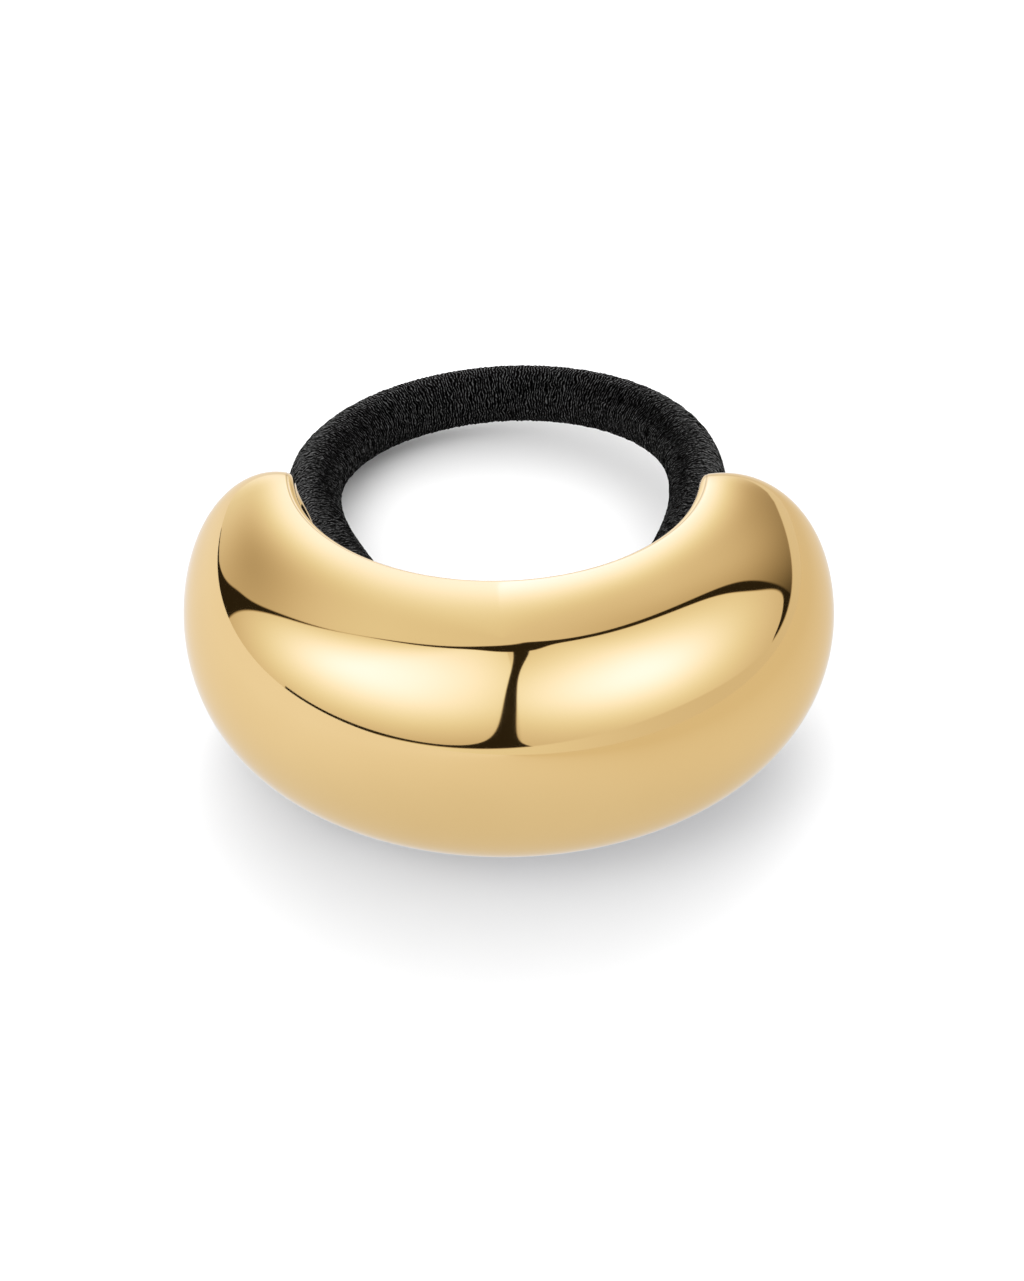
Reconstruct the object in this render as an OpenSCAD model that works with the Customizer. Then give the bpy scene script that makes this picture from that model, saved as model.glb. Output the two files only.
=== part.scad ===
// Ponytail cuff: a hollow, puffy half-ring dome of polished metal with a fabric-covered
// elastic loop threaded through two keepers inside its front wall.
// Millimetres. The cuff lies on its side: Z = 0 is the surface it rests on, the Z axis is
// the axis of the ring, and the middle of the dome faces -Y. Angles run round the ring
// from -Y, positive towards +X.

/* [Cuff] */
// Overall width of the ring, outside to outside
cuff_w = 54; // [44:1:64]
// Height of the dome at its front
cuff_h = 24.4; // [20:0.2:30]
// How far the front of the dome stands out from the mouth
cuff_depth = 12.5; // [11:0.1:14]
// Angle that each arm reaches from the front
cuff_reach = 115; // [98:1:116]
// Thickness of the metal
shell_wall = 1; // [0.8:0.1:1.4]
// Share of the depth that is gone a quarter turn from the front
depth_taper = 0.21; // [0:0.01:0.25]
// Share of the height that is gone a quarter turn from the front
height_taper = 0.04; // [0:0.01:0.12]
// Length of the rounding that closes each end
end_round = 5.4; // [3:0.2:8]
// How far the mouth sits to the -X side of the middle of the dome
mouth_shift = 1; // [0:0.1:1.2]

/* [Elastic] */
// Thickness of the elastic
elastic_d = 5; // [3.6:0.1:5.4]
// How far the middle of the loop reaches behind the ring's axis
loop_back = 46.2; // [36:0.2:56]
// Width of the loop at its widest, from middle to middle of the elastic
loop_w = 33.4; // [26:0.2:38]
// Height of the middle of the elastic at the back of the loop
loop_back_z = 3.5; // [3:0.5:12]
// How far the back of the loop has settled towards +X
loop_lean = -0.2; // [-2:0.1:2]
// How much higher its +X side lies, as a share of its width
loop_tilt = 0.06; // [0:0.01:0.06]
// How much further in than on the +X side the elastic passes the end on the -X side
gate_ease = 1.8; // [0:0.1:2.4]

/* [Keepers] */
// Thickness of the keeper wire
keeper_wire = 1.2; // [0.8:0.1:1.6]
// Angle of each keeper from the front
keeper_angle = 28; // [18:1:40]
// Gap between the elastic and the metal round it
elastic_gap = 0.3; // [0.2:0.05:0.6]

/* [Hidden] */
gold = [0.86, 0.68, 0.38];
black = [0.06, 0.06, 0.07];

// Shapes of the curves, as plain exponents
taper_power = 2;
end_power = 2.7;

// Faces along the arms, round each end, round the section and round the mouth's edge
arm_rows = 40;
end_rows = 9;
wall_cols = 22;
lip_cols = 4;

cuff_r = cuff_w / 2;
mid_r = cuff_r - cuff_depth;
// Angles that an end's rounding and the wall's thickness take up along the mouth
end_turn = end_round / mid_r * 180 / PI;
wall_turn = shell_wall / mid_r * 180 / PI;

// Half-height, depth and mouth radius of the dome at angle a
function taper(share, a) = 1 - share * pow(abs(a) / 90, taper_power);
function dome_half(a) = cuff_h / 2 * taper(height_taper, a);
function dome_depth(a) = cuff_depth * taper(depth_taper, a) + mouth_shift * sin(a);
function mouth_r(a) = cuff_r - dome_depth(a);
function polar(r, a, z) = [r * sin(a), -r * cos(a), z];

// A row of the dome is [angle, size]. The size is 1 along the arms and falls to 0 at the
// ends on a rounded curve.
function end_row(b, reach) = [
    reach - end_turn + end_turn * pow(sin(b), 2 / end_power),
    pow(cos(b), 2 / end_power)
];
function dome_rows(reach) = let (
    arm = reach - end_turn,
    right = [for (i = [1:end_rows]) end_row(90 * i / end_rows, reach)],
    left = [for (i = [len(right) - 1:-1:0]) [-right[i][0], right[i][1]]],
    middle = [for (i = [0:arm_rows]) [arm * (2 * i / arm_rows - 1), 1]]
) concat(left, middle, right);

// A point of the dome at a row, t degrees up its section, with the wall's skin taken off
function dome_point(row, t, skin) = let (
    a = row[0],
    out = (dome_depth(a) - skin) * row[1] * cos(t),
    up = (dome_half(a) - skin) * row[1] * sin(t)
) polar(mouth_r(a) + out, a, dome_half(a) + up);

// The half-round edge between the outer skin at p and the inner skin at q
function lip_point(p, q, a, f) = let (
    mid = (p + q) / 2,
    half = (p - q) / 2,
    bulge = norm(half) * sin(180 * f)
) mid + half * cos(180 * f) - polar(bulge, a, 0);

// One closed section: up the outer skin, over the top edge, down the inner skin, and
// back round the bottom edge
function section_points(outer, inner) = let (
    p_top = dome_point(outer, 90, 0),
    q_top = dome_point(inner, 90, shell_wall),
    p_low = dome_point(outer, -90, 0),
    q_low = dome_point(inner, -90, shell_wall)
) concat(
    [for (j = [0:wall_cols]) dome_point(outer, 180 * j / wall_cols - 90, 0)],
    [for (j = [1:lip_cols - 1]) lip_point(p_top, q_top, outer[0], j / lip_cols)],
    [for (j = [0:wall_cols]) dome_point(inner, 90 - 180 * j / wall_cols, shell_wall)],
    [for (j = [1:lip_cols - 1]) lip_point(q_low, p_low, outer[0], j / lip_cols)]
);

// Faces between two neighbouring sections, which skip the triangles that have shrunk to
// a line where a section closes to an end
function quad_faces(a, b, c, d) = concat(
    a == b || b == c || a == c ? [] : [[a, b, c]],
    a == c || c == d || a == d ? [] : [[a, c, d]]
);

cols = 2 * (wall_cols + 1) + 2 * (lip_cols - 1);
// At an end the whole section is the half-round edge, so its points are named once
function end_index(j) =
    j <= wall_cols ? 0
    : j < wall_cols + lip_cols ? j - wall_cols
    : j <= 2 * wall_cols + lip_cols ? lip_cols
    : cols - j;
function row_index(i, j, last) =
    i == 0 ? end_index(j)
    : i == last ? lip_cols + 1 + (last - 1) * cols + end_index(j)
    : lip_cols + 1 + (i - 1) * cols + j;

module dome_skin() {
    outer = dome_rows(cuff_reach);
    inner = dome_rows(cuff_reach - wall_turn);
    last = len(outer) - 1;
    end_points = function (i) let (s = section_points(outer[i], inner[i]))
        [for (j = [wall_cols:wall_cols + lip_cols]) s[j]];
    points = concat(
        end_points(0),
        [for (i = [1:last - 1]) each section_points(outer[i], inner[i])],
        end_points(last)
    );
    faces = [
        for (i = [0:last - 1], j = [0:cols - 1])
            each quad_faces(
                row_index(i, j, last),
                row_index(i, (j + 1) % cols, last),
                row_index(i + 1, (j + 1) % cols, last),
                row_index(i + 1, j, last)
            )
    ];
    polyhedron(points, faces, convexity = 6);
}

// The elastic runs along the inside of the front wall
seat_r = cuff_r - shell_wall - elastic_gap - elastic_d / 2;
seat_z = cuff_h / 2;
// Middle of the keeper wire, measured from the middle of the elastic
keeper_off = elastic_d / 2 + elastic_gap + keeper_wire / 2;
// How deep the ends of the legs stay below the polished outside
keeper_sink = 0.4 * shell_wall;
keeper_bends = 4;

// A keeper is a U of wire round the elastic, its two legs sunk into the front wall
module keeper(a) {
    corner = keeper_wire;
    leg_r = mouth_r(a) + dome_depth(a) * sqrt(1 - pow(keeper_off / dome_half(a), 2))
        - keeper_sink - keeper_wire / 2;
    bar_r = seat_r - keeper_off;
    bend = [for (i = [0:keeper_bends]) 90 * i / keeper_bends];
    path = concat(
        [[leg_r, seat_z + keeper_off]],
        [for (b = bend) [bar_r + corner * (1 - sin(b)), seat_z + keeper_off - corner * (1 - cos(b))]],
        [for (b = bend) [bar_r + corner * (1 - cos(b)), seat_z - keeper_off + corner * (1 - sin(b))]],
        [[leg_r, seat_z - keeper_off]]
    );
    for (i = [0:len(path) - 2]) hull() for (p = [path[i], path[i + 1]])
        translate(polar(p[0], a, p[1])) sphere(d = keeper_wire, $fn = 10);
}

module cuff_shell() {
    color(gold) union() {
        dome_skin();
        for (side = [-1, 1]) keeper(side * keeper_angle);
    }
}

// Route of one half of the loop, seen from above with X pointing to its own side: an arc
// behind the front wall, a run out to the gate inside the end of the arm, a run out to the
// widest place and a run round the back. The handles of the curves are shares of the loop's
// length and width.
gate_turn = 18;
gate_way = [sin(gate_turn), cos(gate_turn)];
seat_end = [seat_r * sin(keeper_angle), -seat_r * cos(keeper_angle)];
seat_way = [cos(keeper_angle), sin(keeper_angle)];
// The mouth and the back of the loop are off the middle, so the two gates differ
function gate(side) = let (
    r = mouth_r(side * cuff_reach),
    y = -r * cos(cuff_reach),
    shift = max(0, side * loop_lean) * settled(y) + max(0, -side) * gate_ease
) [r * sin(cuff_reach) - shell_wall / 2 - elastic_gap - elastic_d / 2 - shift, y];

function bezier(p, t) = pow(1 - t, 3) * p[0] + 3 * t * pow(1 - t, 2) * p[1]
    + 3 * t * t * (1 - t) * p[2] + t * t * t * p[3];
// How far the loop has settled from its seat to its back, 0 to 1, at y
function settled(y) = let (f = max(0, min(1, (y - seat_end[1]) / (loop_back - seat_end[1]))))
    f * f * (3 - 2 * f);

arc_steps = 6;
run_steps = 12;
function half_route(side) = let (
    g = gate(side),
    front_len = g[1] - seat_end[1],
    back_len = loop_back - g[1],
    w = [loop_w / 2, g[1] + 0.53 * back_len],
    run_in = [seat_end, seat_end + 0.3 * front_len * seat_way, g - 0.45 * front_len * gate_way, g],
    run_out = [g, g + 0.3 * back_len * gate_way, w - [0, 0.1 * back_len], w],
    run_back = [w, w + [0, 0.38 * back_len], [0.37 * w[0], loop_back], [0, loop_back]]
) concat(
    [for (i = [0:arc_steps - 1]) let (a = keeper_angle * i / arc_steps) seat_r * [sin(a), -cos(a)]],
    [for (i = [0:run_steps - 1]) bezier(run_in, i / run_steps)],
    [for (i = [0:run_steps - 1]) bezier(run_out, i / run_steps)],
    [for (i = [0:run_steps]) bezier(run_back, i / run_steps)]
);
left_half = half_route(-1);
loop_route = concat(
    half_route(1),
    [for (i = [len(left_half) - 2:-1:1]) [-left_half[i][0], left_half[i][1]]]
);
elastic_sides = 14;

module hair_elastic() {
    n = len(loop_route);
    route = [
        for (p = loop_route)
            let (f = settled(p[1]))
            [p[0] + loop_lean * f, p[1], seat_z + (loop_back_z + loop_tilt * p[0] - seat_z) * f]
    ];
    points = [
        for (i = [0:n - 1])
            let (
                ahead = route[(i + 1) % n] - route[(i + n - 1) % n],
                side = cross(ahead / norm(ahead), [0, 0, 1]),
                out = side / norm(side),
                up = cross(out, ahead / norm(ahead))
            )
            for (j = [0:elastic_sides - 1])
                let (t = 360 * j / elastic_sides)
                route[i] + elastic_d / 2 * (out * cos(t) + up * sin(t))
    ];
    faces = [
        for (i = [0:n - 1], j = [0:elastic_sides - 1])
            let (
                i2 = (i + 1) % n,
                j2 = (j + 1) % elastic_sides,
                a = i * elastic_sides + j,
                b = i * elastic_sides + j2,
                c = i2 * elastic_sides + j2,
                d = i2 * elastic_sides + j
            )
            each [[a, b, c], [a, c, d]]
    ];
    color(black) polyhedron(points, faces, convexity = 4);
}

cuff_shell();
hair_elastic();
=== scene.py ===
import math

import bmesh
import bpy
import numpy as np
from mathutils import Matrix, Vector


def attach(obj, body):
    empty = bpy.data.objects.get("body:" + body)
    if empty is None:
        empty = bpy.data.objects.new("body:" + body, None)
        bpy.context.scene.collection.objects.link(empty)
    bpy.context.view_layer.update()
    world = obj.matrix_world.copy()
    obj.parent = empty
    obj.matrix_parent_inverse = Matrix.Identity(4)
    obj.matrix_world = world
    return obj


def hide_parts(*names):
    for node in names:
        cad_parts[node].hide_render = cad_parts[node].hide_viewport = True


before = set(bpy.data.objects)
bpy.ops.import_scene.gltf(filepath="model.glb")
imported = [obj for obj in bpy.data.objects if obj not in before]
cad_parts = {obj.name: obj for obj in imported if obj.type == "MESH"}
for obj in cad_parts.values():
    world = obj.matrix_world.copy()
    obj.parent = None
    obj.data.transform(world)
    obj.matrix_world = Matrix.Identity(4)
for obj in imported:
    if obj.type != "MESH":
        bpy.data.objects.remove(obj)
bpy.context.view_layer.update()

MM = 0.001

# The sizes of the part's source, in millimetres
CUFF_R, CUFF_H, CUFF_DEPTH, CUFF_REACH, WALL = 27.0, 24.4, 12.5, 115.0, 1.0
DEPTH_TAPER, HEIGHT_TAPER, TAPER_POWER, MOUTH_SHIFT = 0.21, 0.04, 2, 1.0
END_ROUND, END_POWER = 5.4, 2.7
ELASTIC_D, GAP = 5.0, 0.3
LOOP_BACK, LOOP_W, LOOP_BACK_Z, LOOP_LEAN, LOOP_TILT = 46.2, 33.4, 3.5, -0.2, 0.06
GATE_TURN, GATE_EASE = 18.0, 1.8
WIRE, KEEPER_ANGLE, KEEPER_SINK = 1.2, 28.0, 0.4 * WALL

MID_R = CUFF_R - CUFF_DEPTH
END_TURN = math.degrees(END_ROUND / MID_R)
WALL_TURN = math.degrees(WALL / MID_R)


# Camera: the photograph's viewing angle, in degrees and millimetres, and its lens and height in pixels
EYE_UP, EYE_TURN, EYE_FAR, EYE_AT = 34.6, -0.36, 598.0, (0.35, 12.51, 0.0)
SENSOR, FOCAL_PX, PHOTO_PX = 36, 7000, 1281

camera_data = bpy.data.cameras.new("camera")
camera_data.sensor_width = SENSOR
camera_data.lens = SENSOR * FOCAL_PX / PHOTO_PX
camera_data.clip_start, camera_data.clip_end = 0.01, 20
camera = bpy.data.objects.new("camera", camera_data)
camera.rotation_euler = (math.radians(90 - EYE_UP), 0, math.radians(EYE_TURN))
camera.location = MM * (Vector(EYE_AT) + camera.rotation_euler.to_matrix() @ Vector((0, 0, EYE_FAR)))
bpy.context.scene.collection.objects.link(camera)
bpy.context.scene.camera = camera

view = bpy.context.scene.view_settings
view.view_transform = "Standard"
view.look = "None"
view.exposure = 0
view.gamma = 1


# Helpers
def add_piece(name, points, faces, materials, slots=None):
    """A smooth mesh from points in millimetres. slots gives each face its material."""
    mesh = bpy.data.meshes.new(name)
    mesh.from_pydata((np.asarray(points, float) * MM).tolist(), [], np.asarray(faces).tolist())
    for m in materials:
        mesh.materials.append(m)
    if slots is not None:
        mesh.polygons.foreach_set("material_index", np.asarray(slots, np.int32))
    mesh.polygons.foreach_set("use_smooth", np.ones(len(mesh.polygons), bool))
    mesh.update()
    obj = bpy.data.objects.new(name, mesh)
    bpy.context.scene.collection.objects.link(obj)
    return obj


def grid_faces(rows, cols, start=0, wrap_rows=False):
    """Quads over a grid of points, closed round its columns."""
    i = np.arange(rows if wrap_rows else rows - 1)[:, None]
    j = np.arange(cols)[None]
    i2, j2 = (i + 1) % rows, (j + 1) % cols
    quads = np.stack([i * cols + j, i2 * cols + j, i2 * cols + j2, i * cols + j2], -1)
    return quads.reshape(-1, 4) + start


def merge(obj, dist=1e-7):
    """Joins points that lie on each other and turns the faces outwards."""
    bm = bmesh.new()
    bm.from_mesh(obj.data)
    bmesh.ops.remove_doubles(bm, verts=bm.verts, dist=dist)
    bmesh.ops.recalc_face_normals(bm, faces=bm.faces)
    bm.to_mesh(obj.data)
    bm.free()


def point_values(obj, name, values, kind="FLOAT"):
    """Stores a number or a vector at each point, for the material to read."""
    attribute = obj.data.attributes.new(name, kind, "POINT")
    field = "value" if kind == "FLOAT" else "vector"
    attribute.data.foreach_set(field, np.asarray(values, np.float32).ravel())


class Term:
    """A value in a node tree, so that a formula reads as one."""

    def __init__(self, tree, socket):
        self.tree, self.socket = tree, socket

    def op(self, name, *others, clamp=False):
        n = self.tree.nodes.new("ShaderNodeMath")
        n.operation = name
        n.use_clamp = clamp
        for k, v in enumerate((self, *others)):
            if isinstance(v, Term):
                self.tree.links.new(v.socket, n.inputs[k])
            else:
                n.inputs[k].default_value = v
        return Term(self.tree, n.outputs[0])

    def __add__(self, b):
        return self.op("ADD", b)

    def __sub__(self, b):
        return self.op("SUBTRACT", b)

    def __rsub__(self, b):
        return (self * -1.0) + b

    def __mul__(self, b):
        return self.op("MULTIPLY", b)

    def __truediv__(self, b):
        return self.op("DIVIDE", b)

    def __rtruediv__(self, b):
        return self.op("POWER", -1.0) * b

    def bell(self, middle, width):
        """1 at the middle, falling off to both sides. The width may differ by side."""
        below, above = width if isinstance(width, tuple) else (width, width)
        d = self - middle
        if below == above:
            q = d / below
        else:
            q = d.op("MAXIMUM", 0.0) / above + d.op("MINIMUM", 0.0) / below
        return (q * q * -1.0).op("EXPONENT")

    def past(self, at, width):
        """0 before at, 1 after it, over a narrow edge."""
        return ((self - at) / width + 0.5).op("ADD", 0.0, clamp=True)

    def mix(self, low, high):
        """low where this is 0, high where it is 1."""
        return self * (high - low) + low


def curve(term, knots, low, high):
    """A smooth curve through a few knots. The x runs 0 to 1, and the y from low to high."""
    n = term.tree.nodes.new("ShaderNodeFloatCurve")
    c = n.mapping.curves[0]
    pts = [(x, (y - low) / (high - low)) for x, y in knots]
    c.points[0].location, c.points[-1].location = pts[0], pts[-1]
    for p in pts[1:-1]:
        c.points.new(*p)
    n.mapping.update()
    term.tree.links.new(term.socket, n.inputs["Value"])
    return Term(term.tree, n.outputs[0]) * (high - low) + low


def node(tree, kind, inputs=(), **props):
    """A node with its properties and inputs set. An input may be a value, a socket or a Term."""
    n = tree.nodes.new(kind)
    for k, v in props.items():
        setattr(n, k, v)
    for k, v in dict(inputs).items():
        if isinstance(v, Term):
            v = v.socket
        if isinstance(v, bpy.types.NodeSocket):
            tree.links.new(v, n.inputs[k])
        else:
            n.inputs[k].default_value = v
    return n


def grey(tree, value):
    return node(tree, "ShaderNodeCombineXYZ", {0: value, 1: value, 2: value}).outputs[0]


def blend(tree, share, low, high, kind="VECTOR"):
    """low where the share is 0, high where it is 1, as a vector or as a colour."""
    mixed = node(tree, "ShaderNodeMix", {0: share, "A": low, "B": high}, data_type=kind)
    return mixed.outputs[1 if kind == "VECTOR" else 2]


def new_material(name):
    m = bpy.data.materials.new(name)
    m.use_nodes = True
    m.node_tree.nodes.clear()
    return m, m.node_tree


# Studio: two big soft lights in front, a pale tent over and behind. A direction is its angle round
# from the front, positive towards +X, and its angle up from the floor, both in degrees.
STUDIO, SOFT_SHARE, EVEN_SKY = 1.25, 0.92, 0.87
BACKDROP = (0.82, 0.82, 0.82)

# The tent's tone at the floor, its rise overhead and its fall towards +X, and where it glows most
TENT_BASE, TENT_RISE, TENT_FALL, GLOW_AT = 0.10, 0.62, 0.31, -175.0

# Where the left light gives way to the right one, close to the dark gap
LIGHTS_MEET = 4.0

# The dark frame round both lights: its middle, half width and height, its tone, and how soft its
# edges and the gap's are
FRAME_AT, FRAME_WIDE, FRAME_HIGH = 5.0, 118.0, 78.0
DARK, FRAME_EDGE, GAP_EDGE = 0.017, 0.008, 0.5

# Points of the frame's two edges, picked from a trace of the photograph: two rounded corners
# with a dip between them. Each is a turn from the +X side over the top, 0 to 1, and a distance from
# the frame's middle, where 1 is the frame's size.
NEAREST, FARTHEST = 0.8, 1.3
FRAME_INNER = [(0, 0.8), (0.02, 0.82), (0.034, 0.93), (0.05, 0.985), (0.1, 1.01), (0.26, 1.17),
               (0.48, 1.01), (0.68, 1.07), (0.86, 0.975), (1, 1.0)]
FRAME_OUTER = [(0, 0.985), (0.06, 1.01), (0.27, 1.21), (0.5, 1.08), (0.66, 1.1), (0.86, 0.99),
               (0.96, 1.06), (1, 1.25)]

# The gap's two sides: how far each flares by this height and how suddenly, and its flare at the
# foot. The right side also leans and stands off.
GAP_HIGH = 74.0
LEFT_FLARE, LEFT_POWER, LEFT_FOOT = 9.0, 4.4, 80.0
RIGHT_FLARE, RIGHT_POWER, RIGHT_FOOT = 14.0, 9.0, 250.0
RIGHT_LEAN, RIGHT_OFF = 0.07, 0.8

# The floor's sweep up to the tent: its tone and its fall towards +X, its soft edge, how low it starts,
# and the darkest tone anywhere
SWEEP_TONE, SWEEP_FALL, SWEEP_EDGE, SWEEP_DROP, DARKEST = 0.80, 0.17, 0.8, 2.0, 0.01

# Light above this tone reads whiter and cooler in the metal, as in the photograph, and below it warmer
KNEE, RED_BELOW, RED_ABOVE, BLUE_BELOW, BLUE_ABOVE = 0.72, 0.35, 0.35, 0.5, 2.3

# Light that the metal throws on the floor is evened out to white
THROWN, THROWN_TINT = 0.2, (0.7, 1.0, 2.2)


def studio():
    world = bpy.data.worlds.new("studio")
    bpy.context.scene.world = world
    world.use_nodes = True
    t = world.node_tree
    t.nodes.clear()
    way = node(t, "ShaderNodeTexCoord").outputs["Generated"]
    xyz = node(t, "ShaderNodeSeparateXYZ", {0: way}).outputs
    x, y, z = (Term(t, xyz[k]) for k in range(3))
    el = z.op("ARCSINE") * (180 / math.pi)
    az = x.op("ARCTAN2", y * -1.0) * (180 / math.pi)

    def patch(middle, wide, up, tall, strength, across=az):
        """A soft patch of light. Its width and its height may differ by side."""
        return across.bell(middle, wide) * el.bell(up, tall) * strength

    def light(middle, wide, up, tall, lean, hot, base):
        """A soft light that leans as it rises, with its hot centre."""
        return patch(middle, wide, up, tall, hot, across=az + (el - up) * lean) + base

    # The tent: brighter overhead and behind the object, dimmer to both sides of its back
    behind = (az - GLOW_AT).op("WRAP", 180.0, -180.0)
    glow = patch(middle=0.0, wide=(45.5, 43.0), up=29.0, tall=(73.0, 32.0), strength=1.17, across=behind)
    tent = (z * TENT_RISE + TENT_BASE - x * TENT_FALL + glow
            - patch(middle=158.0, wide=17.5, up=24.0, tall=30.0, strength=0.50)
            - patch(middle=-145.0, wide=37.0, up=30.0, tall=24.0, strength=0.66))

    left = light(middle=-60.5, wide=(38.7, 78.0), up=39.0, tall=(37.0, 58.0),
                 lean=-0.65, hot=1.07, base=0.355)
    right = light(middle=61.6, wide=(75.0, 51.0), up=43.0, tall=(27.7, 32.0),
                  lean=0.21, hot=0.866, base=0.54)
    lights = az.past(LIGHTS_MEET, GAP_EDGE).mix(left, right)

    # The dark frame, by the turn and the distance from its middle
    u, v = (az - FRAME_AT) / FRAME_WIDE, el / FRAME_HIGH
    turn = v.op("MAXIMUM", 0.0).op("ARCTAN2", u) * (1 / math.pi)
    far = (u * u + v * v).op("SQRT")
    inner = curve(turn, FRAME_INNER, NEAREST, FARTHEST)
    outer = curve(turn, FRAME_OUTER, NEAREST, FARTHEST)

    # The dark gap between the lights, which flares at its foot and at its top
    height = el.op("MAXIMUM", 1.0)
    rise = height / GAP_HIGH
    gap_from = rise.op("POWER", LEFT_POWER) * LEFT_FLARE - LEFT_FOOT / height
    gap_to = (rise.op("POWER", RIGHT_POWER) * RIGHT_FLARE + height * RIGHT_LEAN + RIGHT_OFF
              + RIGHT_FOOT / (height * height))
    gap = az.past(gap_from, GAP_EDGE) - az.past(gap_to, GAP_EDGE)
    front = gap.op("MAXIMUM", far.past(inner, FRAME_EDGE)).mix(lights, DARK)
    above = far.past(outer, FRAME_EDGE).mix(front, tent)

    def hill(middle, wide, tall):
        return az.bell(middle, wide) * tall

    # The floor sweeps up a little before the tent begins
    sweep = (hill(middle=55.0, wide=(70.0, 50.0), tall=13.0)
             + hill(middle=147.0, wide=(34.0, 27.0), tall=9.0) - SWEEP_DROP)
    level = el.past(sweep, SWEEP_EDGE).mix(SWEEP_TONE - x * SWEEP_FALL, above).op("MAXIMUM", DARKEST)

    over = (level - KNEE).op("MAXIMUM", 0.0)
    under = (level - KNEE).op("MINIMUM", 0.0)
    red = level * (1.0 - under * RED_BELOW) - over * RED_ABOVE
    blue = level * (under * BLUE_BELOW + 1.0) + over * over * BLUE_ABOVE
    tint = node(t, "ShaderNodeCombineXYZ", {0: red, 1: level, 2: blue}).outputs[0]

    def lamp(a, e, width, power):
        a, e, k = math.radians(a), math.radians(e), 2 / math.radians(width) ** 2
        aim = (math.sin(a) * math.cos(e), -math.cos(a) * math.cos(e), math.sin(e))
        dot = node(t, "ShaderNodeVectorMath", {0: way, 1: aim}, operation="DOT_PRODUCT").outputs["Value"]
        return ((Term(t, dot) - 1.0) * k).op("EXPONENT") * power

    # What lights the floor and the cloth: an even sky, a strong back light and a key at the front left
    back_light = lamp(a=177, e=22, width=26, power=5.2)
    key_light = lamp(a=-38, e=41, width=23, power=2.1)
    plain = (back_light + key_light + EVEN_SKY) * SOFT_SHARE

    rays = node(t, "ShaderNodeLightPath").outputs
    tints = {k: level * (share * THROWN) for k, share in enumerate(THROWN_TINT)}
    thrown = node(t, "ShaderNodeCombineXYZ", tints).outputs[0]
    later = Term(t, rays["Diffuse Depth"]).op("GREATER_THAN", 0.5)
    shiny = blend(t, later, tint, thrown)
    lit = blend(t, rays["Is Glossy Ray"], grey(t, plain), shiny)
    seen = blend(t, rays["Is Camera Ray"], lit, BACKDROP)
    back = node(t, "ShaderNodeBackground", {"Color": seen, "Strength": STUDIO})
    t.links.new(back.outputs[0], node(t, "ShaderNodeOutputWorld").inputs[0])


studio()


# Floor: its paper and half its side in millimetres. The metal mirrors it from one tone to another
# over a stretch in metres, and in a third where it throws light back on it.
PAPER_DARK, PAPER_PALE, FLOOR_HALF = 0.86, 0.88, 2500.0
MIRRORED_LEFT, MIRRORED_RIGHT, FLOOR_THROWN = (0.64, 0.67, 0.75), (0.53, 0.51, 0.47), (0.59, 0.84, 1.9)
MIRRORED_FROM, MIRRORED_TO, MIRRORED_EVEN, MIRRORED_GLOW = -0.1, 0.12, 0.75, 1.6


def make_floor():
    """Pale paper. In the metal it shows as a painted reflection, mostly a glow, in tones of its own, bluer on
    the left and warmer on the right.
    """
    m, t = new_material("floor")
    paper = node(t, "ShaderNodeTexNoise", {"Scale": 400.0, "Detail": 2.0}).outputs["Fac"]
    tone = node(t, "ShaderNodeMapRange", {"Value": paper, "To Min": PAPER_DARK, "To Max": PAPER_PALE})
    spot = node(t, "ShaderNodeNewGeometry").outputs["Position"]
    across = node(t, "ShaderNodeMapRange", {"Value": node(t, "ShaderNodeSeparateXYZ", {0: spot}).outputs[0],
                                            "From Min": MIRRORED_FROM, "From Max": MIRRORED_TO},
                  interpolation_type="SMOOTHSTEP").outputs[0]
    rays = node(t, "ShaderNodeLightPath").outputs
    later = Term(t, rays["Diffuse Depth"]).op("GREATER_THAN", 0.5)
    painted_reflection = blend(t, later, blend(t, across, MIRRORED_LEFT, MIRRORED_RIGHT), FLOOR_THROWN)
    shade = blend(t, rays["Is Glossy Ray"], grey(t, tone.outputs[0]), painted_reflection)
    matt = node(t, "ShaderNodeBsdfDiffuse", {"Color": shade})
    # In the metal most of the floor is an even painted glow, so that the cuff's own shadow hardly shows there
    even = node(t, "ShaderNodeEmission", {"Color": painted_reflection, "Strength": MIRRORED_GLOW})
    share = Term(t, rays["Is Glossy Ray"]) * later.mix(MIRRORED_EVEN, 1.0)
    seen = node(t, "ShaderNodeMixShader", {0: share, 1: matt.outputs[0], 2: even.outputs[0]})
    t.links.new(seen.outputs[0], node(t, "ShaderNodeOutputMaterial").inputs[0])
    side = FLOOR_HALF
    floor = add_piece("floor", [(-side, -side, 0), (side, -side, 0), (side, side, 0), (-side, side, 0)],
                      [(0, 1, 2, 3)], [m])


make_floor()


# Gold: polished plating outside, a softer gloss on the wall's inside. Its colours are the two of its
# faint clouds, the painted shade in the rim's two fine grooves and what it turns to at a grazing angle.
GOLD_DEEP, GOLD_PALE, GOLD_GROOVE_SHADE = (0.785, 0.545, 0.238, 1), (0.810, 0.570, 0.256, 1), (0.52, 0.33, 0.13, 1)
GOLD_GRAZING = (0.97, 0.93, 0.85, 1)


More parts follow.
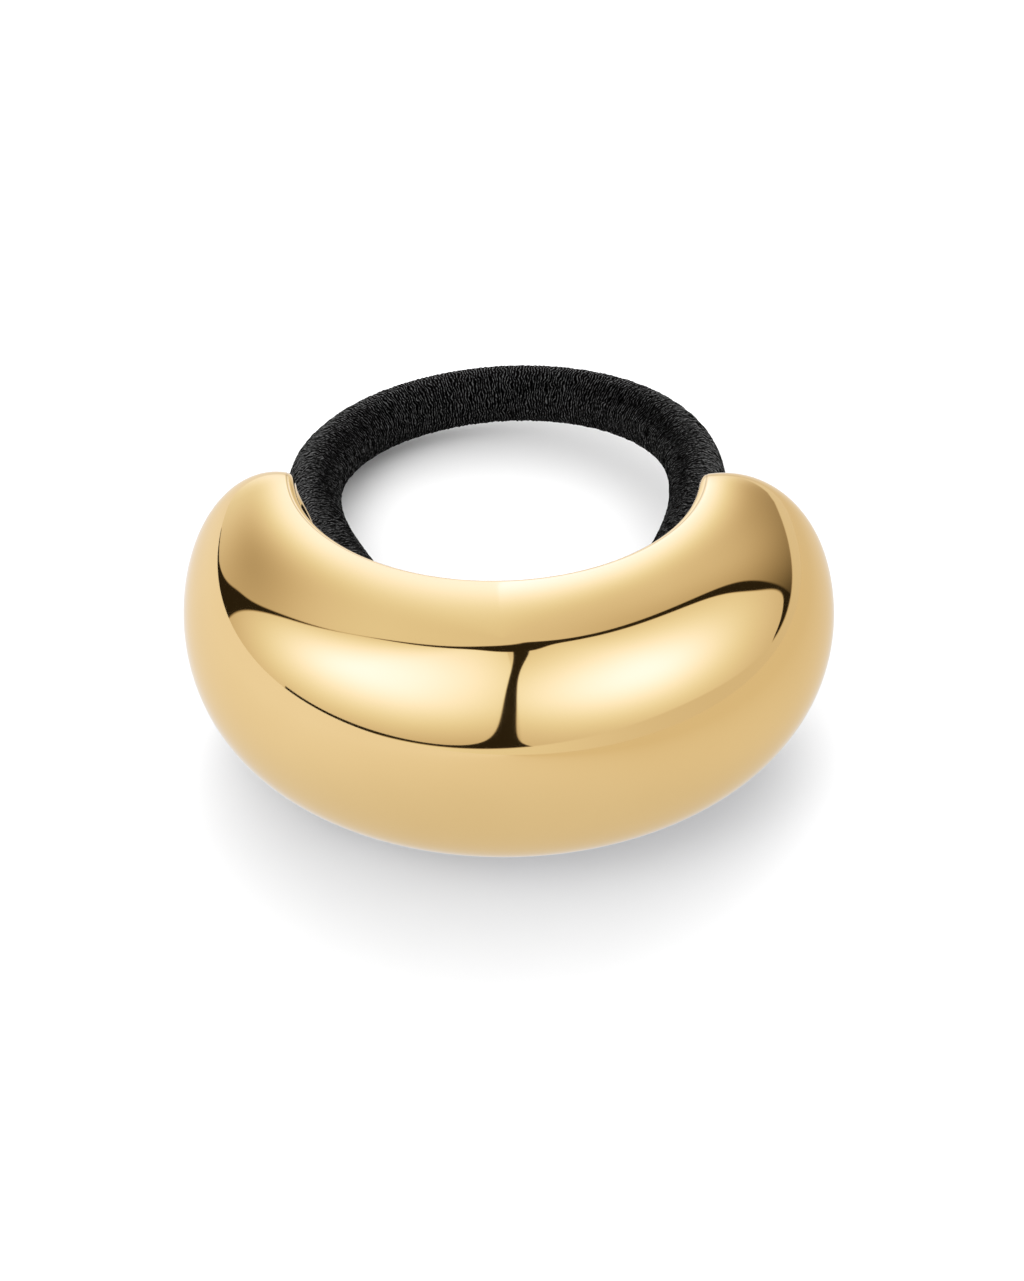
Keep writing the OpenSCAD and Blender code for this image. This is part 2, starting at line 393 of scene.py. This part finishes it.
def gold_material(name, rough, wave):
    m, t = new_material(name)
    place = node(t, "ShaderNodeTexCoord").outputs["Object"]
    cloud = node(t, "ShaderNodeTexNoise", {"Vector": place, "Scale": 45.0, "Detail": 3.0, "Roughness": 0.5})
    tone = node(t, "ShaderNodeValToRGB", {"Fac": cloud.outputs["Fac"]})
    ramp = tone.color_ramp.elements
    ramp[0].position, ramp[0].color = 0.35, GOLD_DEEP
    ramp[1].position, ramp[1].color = 0.65, GOLD_PALE
    polish = node(t, "ShaderNodeTexNoise", {"Vector": place, "Scale": 260.0, "Detail": 4.0, "Roughness": 0.6})
    haze = node(t, "ShaderNodeMapRange", {"Value": polish.outputs["Fac"], "From Min": 0.3, "From Max": 0.7,
                                          "To Min": rough * 0.75, "To Max": rough * 1.25})
    swell = node(t, "ShaderNodeTexNoise", {"Vector": place, "Scale": 110.0, "Detail": 1.0})
    bump = node(t, "ShaderNodeBump", {"Height": swell.outputs["Fac"], "Strength": 1.0, "Distance": wave})
    # Painted shade: the colour darkens along the rim's two fine grooves
    line = node(t, "ShaderNodeAttribute", attribute_name="rim_groove_and_shade").outputs["Fac"]
    colour = blend(t, line, tone.outputs["Color"], GOLD_GROOVE_SHADE, kind="RGBA")
    gloss = node(t, "ShaderNodeBsdfPrincipled", {
        "Base Color": colour, "Metallic": 1.0, "Roughness": haze.outputs[0],
        "Specular Tint": GOLD_GRAZING, "Normal": bump.outputs["Normal"]})
    t.links.new(gloss.outputs[0], node(t, "ShaderNodeOutputMaterial").inputs[0])
    return m


plating = gold_material("gold_plating", rough=0.035, wave=2e-7)
inside = gold_material("gold_inside", rough=0.14, wave=2e-6)


# Cuff: how far its -X end turns in, from which size of section on and over how much of it, the two
# fine grooves, with painted shade in them, by their place and width across the rim, and the solder at the
# feet of its keepers
CURL, CURL_FROM, CURL_RUN = 1.5, 0.75, 0.5
RIM_LINES, RIM_SINK = ((0.07, 0.025), (0.40, 0.035)), 0.05
SOLDER, SOLDER_FADE = 0.35, 0.9

# Rows along the arms and round each end, columns up the outer skin, down the inner skin and over
# each rim, and how many of a rim's columns are polished like the outside. Then a keeper's steps
# along each leg and bend, and its sides.
ARM_ROWS, END_ROWS, OUT_COLS, IN_COLS, LIP_COLS, LIP_POLISHED = 250, 40, 121, 57, 34, 26
LEG_STEPS, BEND_STEPS, WIRE_SIDES = 24, 12, 24


def taper(share, a):
    return 1 - share * (np.abs(a) / 90) ** TAPER_POWER


def dome_half(a):
    return CUFF_H / 2 * taper(HEIGHT_TAPER, a)


def dome_depth(a):
    return CUFF_DEPTH * taper(DEPTH_TAPER, a) + MOUTH_SHIFT * np.sin(np.radians(a))


def mouth_r(a):
    return CUFF_R - dome_depth(a)


def polar(r, a, z):
    a = np.radians(a)
    return np.stack(np.broadcast_arrays(r * np.sin(a), -r * np.cos(a), z), -1)


def dome_rows(reach, arm_rows, end_rows):
    """Angle and size of each section from end to end, as in the part's source."""
    arm = reach - END_TURN
    b = np.radians(np.linspace(0, 90, end_rows + 1)[1:])
    angle = arm + END_TURN * np.sin(b) ** (2 / END_POWER)
    size = np.cos(b).clip(0) ** (2 / END_POWER)
    size[-1] = 0
    middle = np.linspace(-arm, arm, arm_rows + 1)
    return (np.concatenate([-angle[::-1], middle, angle]),
            np.concatenate([size[::-1], np.ones(arm_rows + 1), size]))


def curl(a, size):
    """How far the end on the -X side turns in past the mouth. The other is too close to the elastic."""
    f = np.clip((CURL_FROM - size) / CURL_RUN, 0, 1)
    return np.where(a < 0, CURL, 0.0) * f * f * (3 - 2 * f)


def dome_skin(rows, t, skin):
    a, size = rows[0][:, None], rows[1][:, None]
    t = np.radians(t)[None]
    r = mouth_r(a) + (dome_depth(a) - skin) * size * np.cos(t) - curl(a, size)
    z = dome_half(a) + (dome_half(a) - skin) * size * np.sin(t)
    return polar(r, a, z)


def rim_groove_and_shade(f):
    """1 along the two fine grooves that bound the rim's narrow edge, 0 elsewhere. The edge sinks there, and
    shade is painted there.
    """
    return sum(np.exp(-(((f - at) / wide) ** 2)) for at, wide in RIM_LINES)


def lip(p, q, a, f):
    """The half-round edge from the outer skin at p to the inner skin at q, with its two fine grooves."""
    middle, half = (p + q) / 2, (p - q) / 2
    width = np.linalg.norm(half, axis=-1)[:, None]
    sink = 1 - RIM_SINK * rim_groove_and_shade(f)[None]
    f = f[None]
    return (middle[:, None] + half[:, None] * (sink * np.cos(np.pi * f))[..., None]
            - polar(width * sink * np.sin(np.pi * f), a[:, None], 0))


def keeper(a):
    """A U of wire round the elastic, with a little solder at each foot."""
    seat_r = CUFF_R - WALL - GAP - ELASTIC_D / 2
    seat_z = CUFF_H / 2
    off = ELASTIC_D / 2 + GAP + WIRE / 2
    leg_r = mouth_r(a) + dome_depth(a) * math.sqrt(1 - (off / dome_half(a)) ** 2) - KEEPER_SINK - WIRE / 2
    bar_r, corner = seat_r - off, WIRE
    bend = np.radians(np.linspace(0, 90, BEND_STEPS + 1))
    leg = np.linspace(leg_r, bar_r + corner, LEG_STEPS + 1)[:-1]
    upper = np.r_[np.c_[leg, np.full(LEG_STEPS, seat_z + off)],
                  np.c_[bar_r + corner * (1 - np.sin(bend)), seat_z + off - corner * (1 - np.cos(bend))]]
    lower = upper[::-1] * [1, -1] + [0, 2 * seat_z]
    path = np.r_[upper, lower]
    way = np.gradient(path, axis=0)
    way /= np.linalg.norm(way, axis=1)[:, None]
    side = np.c_[-way[:, 1], way[:, 0]]
    foot = leg_r - path[:, 0]
    radius = WIRE / 2 + SOLDER * np.exp(-((foot / SOLDER_FADE) ** 2))
    turn = np.linspace(0, 2 * np.pi, WIRE_SIDES, endpoint=False)[None]
    rz = path[:, None] + side[:, None] * (radius[:, None] * np.cos(turn))[..., None]
    along = polar(rz[..., 0], a, rz[..., 1])
    across = np.array([math.cos(math.radians(a)), math.sin(math.radians(a)), 0])
    return along + (radius[:, None] * np.sin(turn))[..., None] * across


def make_cuff():
    outer_rows = dome_rows(CUFF_REACH, ARM_ROWS, END_ROWS)
    inner_rows = dome_rows(CUFF_REACH - WALL_TURN, ARM_ROWS, END_ROWS)
    out_t, in_t = np.linspace(-90, 90, OUT_COLS), np.linspace(90, -90, IN_COLS)
    f = np.linspace(0, 1, LIP_COLS + 2)[1:-1]
    outside, within = dome_skin(outer_rows, out_t, 0), dome_skin(inner_rows, in_t, WALL)
    top = lip(outside[:, -1], within[:, 0], outer_rows[0], f)
    low = lip(outside[:, 0], within[:, -1], outer_rows[0], f)[:, ::-1]
    ring = np.concatenate([outside, top, within, low], 1)
    rows, cols = ring.shape[:2]
    faces = [grid_faces(rows, cols)]
    matt_cols = IN_COLS + 2 * (LIP_COLS - LIP_POLISHED)
    slots = [np.tile(np.r_[np.zeros(OUT_COLS + LIP_POLISHED), np.ones(matt_cols), np.zeros(LIP_POLISHED)],
                     rows - 1)]
    # Where shade is painted along the rim's two fine grooves
    line = np.tile(np.r_[np.zeros(OUT_COLS), rim_groove_and_shade(f), np.zeros(IN_COLS), rim_groove_and_shade(f)[::-1]], rows)
    points = [ring.reshape(-1, 3)]
    for a in (-KEEPER_ANGLE, KEEPER_ANGLE):
        tube = keeper(a)
        faces.append(grid_faces(*tube.shape[:2], start=sum(map(len, points))))
        slots.append(np.ones(len(faces[-1])))
        points.append(tube.reshape(-1, 3))
    cuff = add_piece("cuff", np.concatenate(points), np.concatenate(faces), [plating, inside],
                     np.concatenate(slots))
    point_values(cuff, "rim_groove_and_shade", np.pad(line, (0, sum(map(len, points)) - len(line))))
    merge(cuff)
    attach(cuff, "root")
    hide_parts("cuff_shell")


make_cuff()


# Elastic: a cord in a fine crinkled knit, on the part's own route. The handles of the route's curves
# and the place where it is widest are shares of its length and width, as in the part's source.
SEAT_OUT, GATE_IN, GATE_OUT, WIDEST_IN, WIDEST_OUT, BACK_IN, WIDEST_AT = 0.3, 0.45, 0.3, 0.1, 0.38, 0.37, 0.53
ARC_STEPS, CURVE_STEPS = 120, 240
ELASTIC_STEPS, ELASTIC_SIDES, SEED = 2080, 46, 7

# Ribs and folds of the knit: height, pitch along the cord and length across it. Then how far the
# skin lies within the cord's size, how much the pitch varies, and a ridge's limit.
RIBS, FOLDS = (0.022, 0.42, 0.9), (0.012, 1.6, 2.2)
SKIN_INSET, PITCH_SPREAD, TALLEST = 0.03, 0.45, 2

# Creases on the bends, with painted shade in them, and a dent: middle and reach along the cord as shares
# of its length, middle and reach round it in degrees, and depth
CREASES = ((0.38, 0.09, 126, 20, 0.28), (0.64, 0.07, 125, 20, 0.18))
DENTS = ((0.665, 0.035, 10, 50, 0.3),)


def elastic_route(steps):
    """Middle of the elastic, evenly spaced, from the middle of the front round the +X side."""
    def bezier(*p):
        s = np.linspace(0, 1, CURVE_STEPS, endpoint=False)[:, None]
        a, b, c, d = (np.array(q, float) for q in p)
        return (1 - s) ** 3 * a + 3 * s * (1 - s) ** 2 * b + 3 * s * s * (1 - s) * c + s ** 3 * d

    seat_r, seat_z = CUFF_R - WALL - GAP - ELASTIC_D / 2, CUFF_H / 2
    reach, keep, turn = (math.radians(v) for v in (CUFF_REACH, KEEPER_ANGLE, GATE_TURN))
    gate_way = np.array([math.sin(turn), math.cos(turn)])
    seat_end = seat_r * np.array([math.sin(keep), -math.cos(keep)])
    seat_way = np.array([math.cos(keep), math.sin(keep)])
    arc = np.linspace(0, keep, ARC_STEPS, endpoint=False)

    def settled(y):
        f = np.clip((y - seat_end[1]) / (LOOP_BACK - seat_end[1]), 0, 1)
        return f * f * (3 - 2 * f)

    def half(side):
        r = mouth_r(side * CUFF_REACH)
        shift = max(0, side * LOOP_LEAN) * settled(-r * math.cos(reach)) + max(0, -side) * GATE_EASE
        gate = np.array([r * math.sin(reach) - WALL / 2 - GAP - ELASTIC_D / 2 - shift, -r * math.cos(reach)])
        front, back = gate[1] - seat_end[1], LOOP_BACK - gate[1]
        widest = np.array([LOOP_W / 2, gate[1] + WIDEST_AT * back])
        return np.concatenate([
            seat_r * np.c_[np.sin(arc), -np.cos(arc)],
            bezier(seat_end, seat_end + SEAT_OUT * front * seat_way, gate - GATE_IN * front * gate_way, gate),
            bezier(gate, gate + GATE_OUT * back * gate_way, widest - [0, WIDEST_IN * back], widest),
            bezier(widest, widest + [0, WIDEST_OUT * back], [BACK_IN * widest[0], LOOP_BACK], [0, LOOP_BACK]),
            [[0, LOOP_BACK]],
        ])

    flat = np.concatenate([half(1), half(-1)[-2:0:-1] * [-1, 1]])
    x, y = flat.T
    f = settled(y)
    line = np.c_[x + LOOP_LEAN * f, y, seat_z + (LOOP_BACK_Z + LOOP_TILT * x - seat_z) * f]
    closed = np.r_[line, line[:1]]
    run = np.r_[0, np.cumsum(np.linalg.norm(np.diff(closed, axis=0), axis=1))]
    s = np.linspace(0, run[-1], steps, endpoint=False)
    return np.stack([np.interp(s, run, closed[:, k]) for k in range(3)], -1), s, run[-1]


def crinkle(rng, steps, sides, length, girth, pitch, tall):
    """Even noise over the closed skin, in ridges about pitch apart along the cord and tall across it."""
    fs = np.fft.fftfreq(steps, length / steps)[:, None]
    fa = np.fft.fftfreq(sides, girth / sides)[None]
    band = np.exp(-((np.abs(fs) - 1 / pitch) / (PITCH_SPREAD / pitch)) ** 2) * np.exp(-(fa * tall) ** 2)
    n = np.fft.ifft2(np.fft.fft2(rng.standard_normal((steps, sides))) * band).real
    return n / n.std()


def make_elastic(material):
    steps, sides = ELASTIC_STEPS, ELASTIC_SIDES
    route, s, length = elastic_route(steps)
    ahead = np.roll(route, -1, 0) - np.roll(route, 1, 0)
    ahead /= np.linalg.norm(ahead, axis=1)[:, None]
    out = np.cross(ahead, [0, 0, 1.0])
    out /= np.linalg.norm(out, axis=1)[:, None]
    rise = np.cross(out, ahead)
    turn = np.linspace(0, 2 * np.pi, sides, endpoint=False)[None]
    rng = np.random.default_rng(SEED)
    girth = math.pi * ELASTIC_D

    def relief(height, pitch, tall):
        return height * crinkle(rng, steps, sides, length, girth, pitch, tall).clip(-TALLEST, TALLEST)

    def pressed(middle, reach, at, wide):
        """1 where the cord is pressed in, falling off along it and round it."""
        along = np.exp(-(((s[:, None] / length - middle) / reach) ** 4))
        return along * np.exp(-(((np.degrees(turn) - at) / wide) ** 2))

    radius = ELASTIC_D / 2 - SKIN_INSET + relief(*RIBS) + relief(*FOLDS)
    for *place, depth in CREASES + DENTS:
        radius = radius - depth * pressed(*place)
    # Where shade is painted in the creases on the bends
    crease_shade = sum(pressed(*place) for *place, depth in CREASES)
    c, d = np.cos(turn), np.sin(turn)
    points = route[:, None] + radius[..., None] * (out[:, None] * c[..., None] + rise[:, None] * d[..., None])
    loop = add_piece("elastic", points.reshape(-1, 3), grid_faces(steps, sides, wrap_rows=True), [material])
    cloth = np.stack(np.broadcast_arrays(s[:, None], ELASTIC_D / 2 * c, ELASTIC_D / 2 * d), -1)
    point_values(loop, "cloth", cloth, kind="FLOAT_VECTOR")
    point_values(loop, "crease_shade", crease_shade)
    merge(loop)
    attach(loop, "root")
    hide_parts("hair_elastic")


# Yarn: its tone, contrast and palest tone, the pitch of its threads and how far they wander, the
# shares of threads and of noise, what is taken off, its middle value, and the painted shade in its creases.
# The pale threads are painted glints.
YARN_TONE, YARN_CONTRAST, YARN_PALEST = 0.0058, 13.5, 0.1
THREAD_PITCH, THREAD_WANDER = 0.26, 16.0
THREAD_SHARE, NOISE_SHARE, YARN_OFF, YARN_MIDDLE = 0.45, 0.85, 0.15, 0.5
CREASE_SHADE_TONE = 0.35


def knit_material():
    """Black yarn in fine crosswise ribs: a few pale threads over near black, painted glints in its colour."""
    m, t = new_material("black_knit")
    place = node(t, "ShaderNodeAttribute", attribute_name="cloth").outputs["Vector"]
    along = Term(t, node(t, "ShaderNodeSeparateXYZ", {0: place}).outputs[0])

    def noise(steps, **more):
        at = node(t, "ShaderNodeVectorMath", {0: place, 1: steps}, operation="MULTIPLY").outputs[0]
        return Term(t, node(t, "ShaderNodeTexNoise", {"Vector": at, "Scale": 1.0, **more}).outputs["Fac"])

    wander = noise((1.3, 1.3, 1.3), Detail=1.0)
    threads = (along * (2 * math.pi / THREAD_PITCH) + wander * THREAD_WANDER).op("SINE") * 0.5 + 0.5
    fuzz = noise((8.5, 4.4, 4.4), Detail=1.5, Roughness=0.6)
    yarn = threads * THREAD_SHARE + fuzz * NOISE_SHARE - YARN_OFF
    broad = node(t, "ShaderNodeTexNoise", {"Vector": place, "Scale": 0.35, "Detail": 2.0})
    # Painted light: the knit is paler on the loop's outer side and darker within, as the light falls on it
    sideways = node(t, "ShaderNodeSeparateXYZ", {0: place}).outputs[1]
    painted_side_light = node(t, "ShaderNodeMapRange", {"Value": sideways, "From Min": -0.4, "From Max": 1.7,
                                             "To Min": 0.40, "To Max": 1.6}, interpolation_type="SMOOTHSTEP")
    # Painted glints: the yarn's colour has pale threads in place of light off the fibres
    yarn_tone_and_light = ((yarn - YARN_MIDDLE) * YARN_CONTRAST).op("EXPONENT") * Term(t, painted_side_light.outputs[0]) * YARN_TONE
    # Painted shade: the cord's colour is darker in the creases on its bends
    crease_shade = Term(t, node(t, "ShaderNodeAttribute", attribute_name="crease_shade").outputs["Fac"])
    yarn_tone_and_light = yarn_tone_and_light.op("MINIMUM", YARN_PALEST) * crease_shade.mix(1.0, CREASE_SHADE_TONE)
    rough = node(t, "ShaderNodeMapRange", {"Value": broad.outputs["Fac"], "To Min": 0.5, "To Max": 0.65})
    tone = node(t, "ShaderNodeCombineColor", {0: yarn_tone_and_light, 1: yarn_tone_and_light, 2: yarn_tone_and_light})
    bump = node(t, "ShaderNodeBump", {"Height": yarn, "Strength": 1.0, "Distance": 1.5e-4})
    cloth = node(t, "ShaderNodeBsdfPrincipled", {
        "Base Color": tone.outputs[0], "Roughness": rough.outputs[0], "Normal": bump.outputs["Normal"],
        "Specular IOR Level": 0.0, "Sheen Weight": 0.01, "Sheen Roughness": 0.5,
        "Sheen Tint": (0.6, 0.58, 0.55, 1)})
    t.links.new(cloth.outputs[0], node(t, "ShaderNodeOutputMaterial").inputs[0])
    return m


make_elastic(knit_material())
